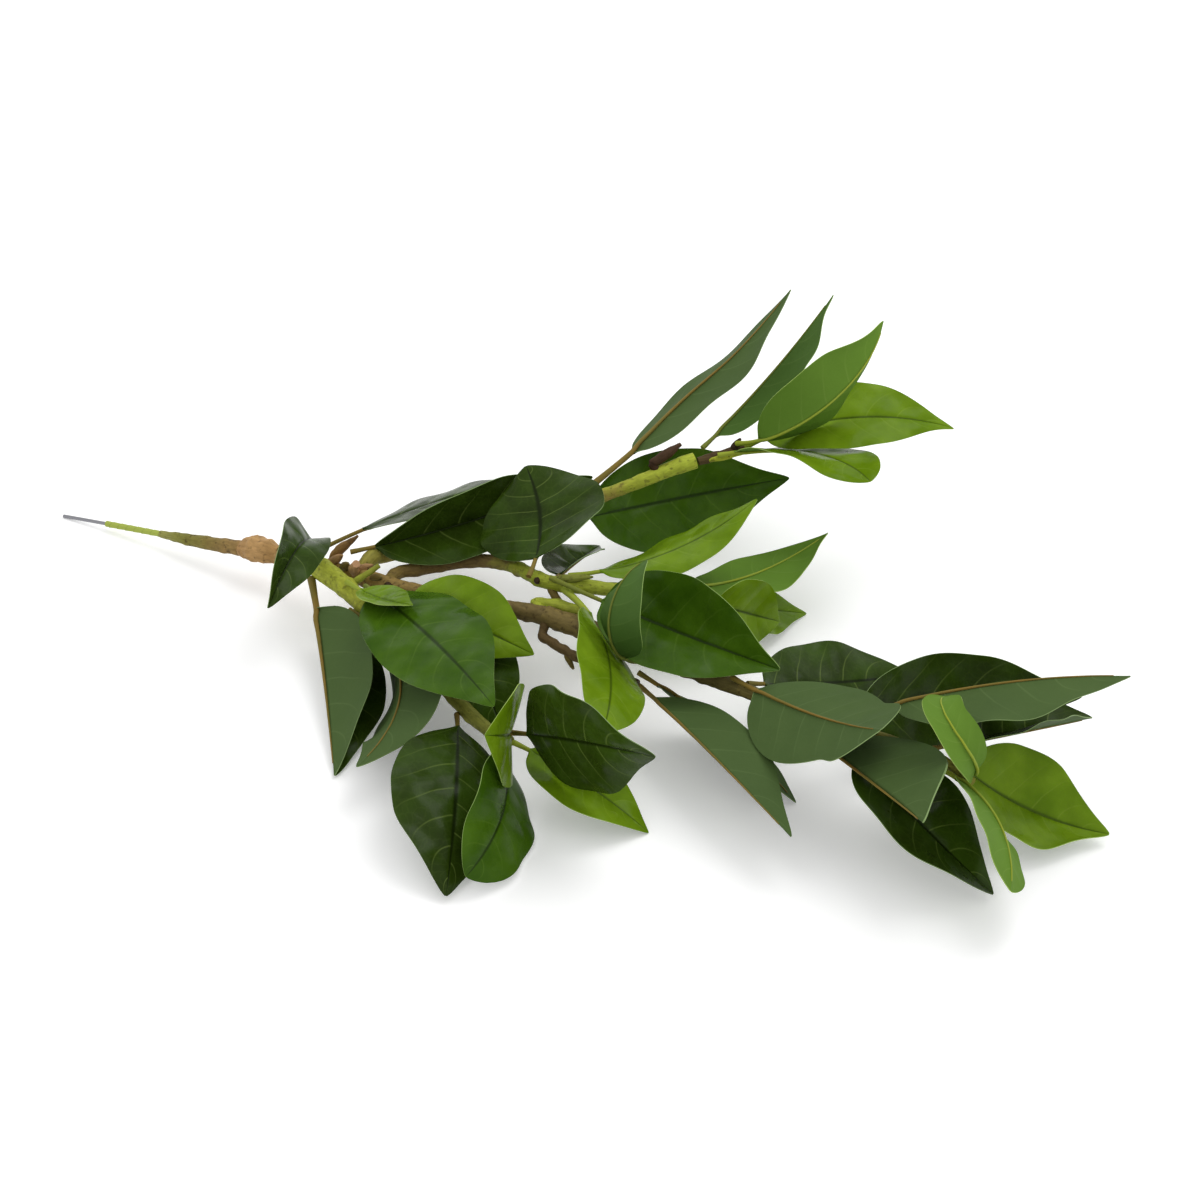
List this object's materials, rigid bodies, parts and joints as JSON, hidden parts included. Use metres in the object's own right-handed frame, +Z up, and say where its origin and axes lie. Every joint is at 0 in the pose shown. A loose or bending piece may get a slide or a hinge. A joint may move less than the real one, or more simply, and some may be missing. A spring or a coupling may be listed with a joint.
{
  "type": "lemon leaf bunch",
  "caption": "Artificial lemon leaf spray lying down: a wire stem forks into a front, middle, back and tip branch, each ending in a tuft of pointed oval leaves.",
  "frame": {"origin": "on the surface the bunch lies on, under the middle of its bounding box", "axes": "+X from the bare wire towards the leaf tips, +Y across the bunch towards the back branch, +Z up from the surface; the bunch lies in the XY plane as it rests"},
  "size_m": [0.6808, 0.4538, 0.1589],
  "materials": {
    "wire": "bare drawn steel wire, satin",
    "tape": "waxed paper floral tape, dull",
    "stem_brown": "moulded bark texture, matt",
    "stem_olive": "moulded stem skin with dark marks, matt",
    "stem_lime": "smooth young stem, satin",
    "stem_tan": "moulded woody stem, matt",
    "bud_dark": "dark bud scales, matt",
    "leaf_dark": "soft moulded leaf, waxy top and matt grey-green underside",
    "leaf_mid": "soft moulded leaf, waxy top and matt green underside",
    "leaf_young": "soft moulded young leaf, waxy top and matt light green underside"
  },
  "bodies": {
    "root": {"wire_core": "wire", "floral_tape": "tape", "stem_sleeve": "stem_olive", "stem_knob": "stem_tan", "main_stem": "stem_tan", "thick_stem": "stem_brown", "tip_branch": "stem_olive", "back_branch": "stem_lime", "back_twig": "bud_dark", "middle_branch": "stem_lime", "front_branch": "stem_lime", "thin_twig": "stem_brown", "junction_bud": "stem_tan", "junction_stub": "stem_tan", "junction_spur": "stem_lime", "upper_stub": "stem_lime", "back_calyx": "bud_dark", "leaf_base_1": "leaf_dark", "leaf_base_2": "leaf_dark", "leaf_base_3": "leaf_dark", "leaf_base_4": "leaf_dark", "leaf_base_5": "leaf_dark", "leaf_base_6": "leaf_mid", "leaf_base_7": "leaf_young", "leaf_base_8": "leaf_young", "leaf_middle_1": "leaf_dark", "leaf_middle_2": "leaf_dark", "leaf_middle_3": "leaf_dark", "leaf_middle_4": "leaf_young", "leaf_middle_5": "leaf_mid", "leaf_middle_6": "leaf_mid", "leaf_middle_7": "leaf_young", "leaf_middle_8": "leaf_young", "leaf_middle_9": "leaf_young", "leaf_middle_10": "leaf_young", "leaf_front_1": "leaf_dark", "leaf_front_2": "leaf_mid", "leaf_front_3": "leaf_young", "leaf_front_4": "leaf_dark", "leaf_front_5": "leaf_young", "leaf_back_1": "leaf_dark", "leaf_back_2": "leaf_mid", "leaf_back_3": "leaf_young", "leaf_back_4": "leaf_young", "leaf_back_5": "leaf_young", "leaf_back_6": "leaf_mid", "leaf_tip_1": "leaf_dark", "leaf_tip_2": "leaf_dark", "leaf_tip_3": "leaf_dark", "leaf_tip_4": "leaf_dark", "leaf_tip_5": "leaf_young", "leaf_tip_6": "leaf_young", "leaf_tip_7": "leaf_young", "leaf_tip_8": "leaf_dark", "leaf_tip_9": "leaf_dark", "leaf_tip_10": "leaf_dark", "leaf_tip_11": "leaf_dark", "leaf_tip_12": "leaf_dark"}
  },
  "joints": []
}
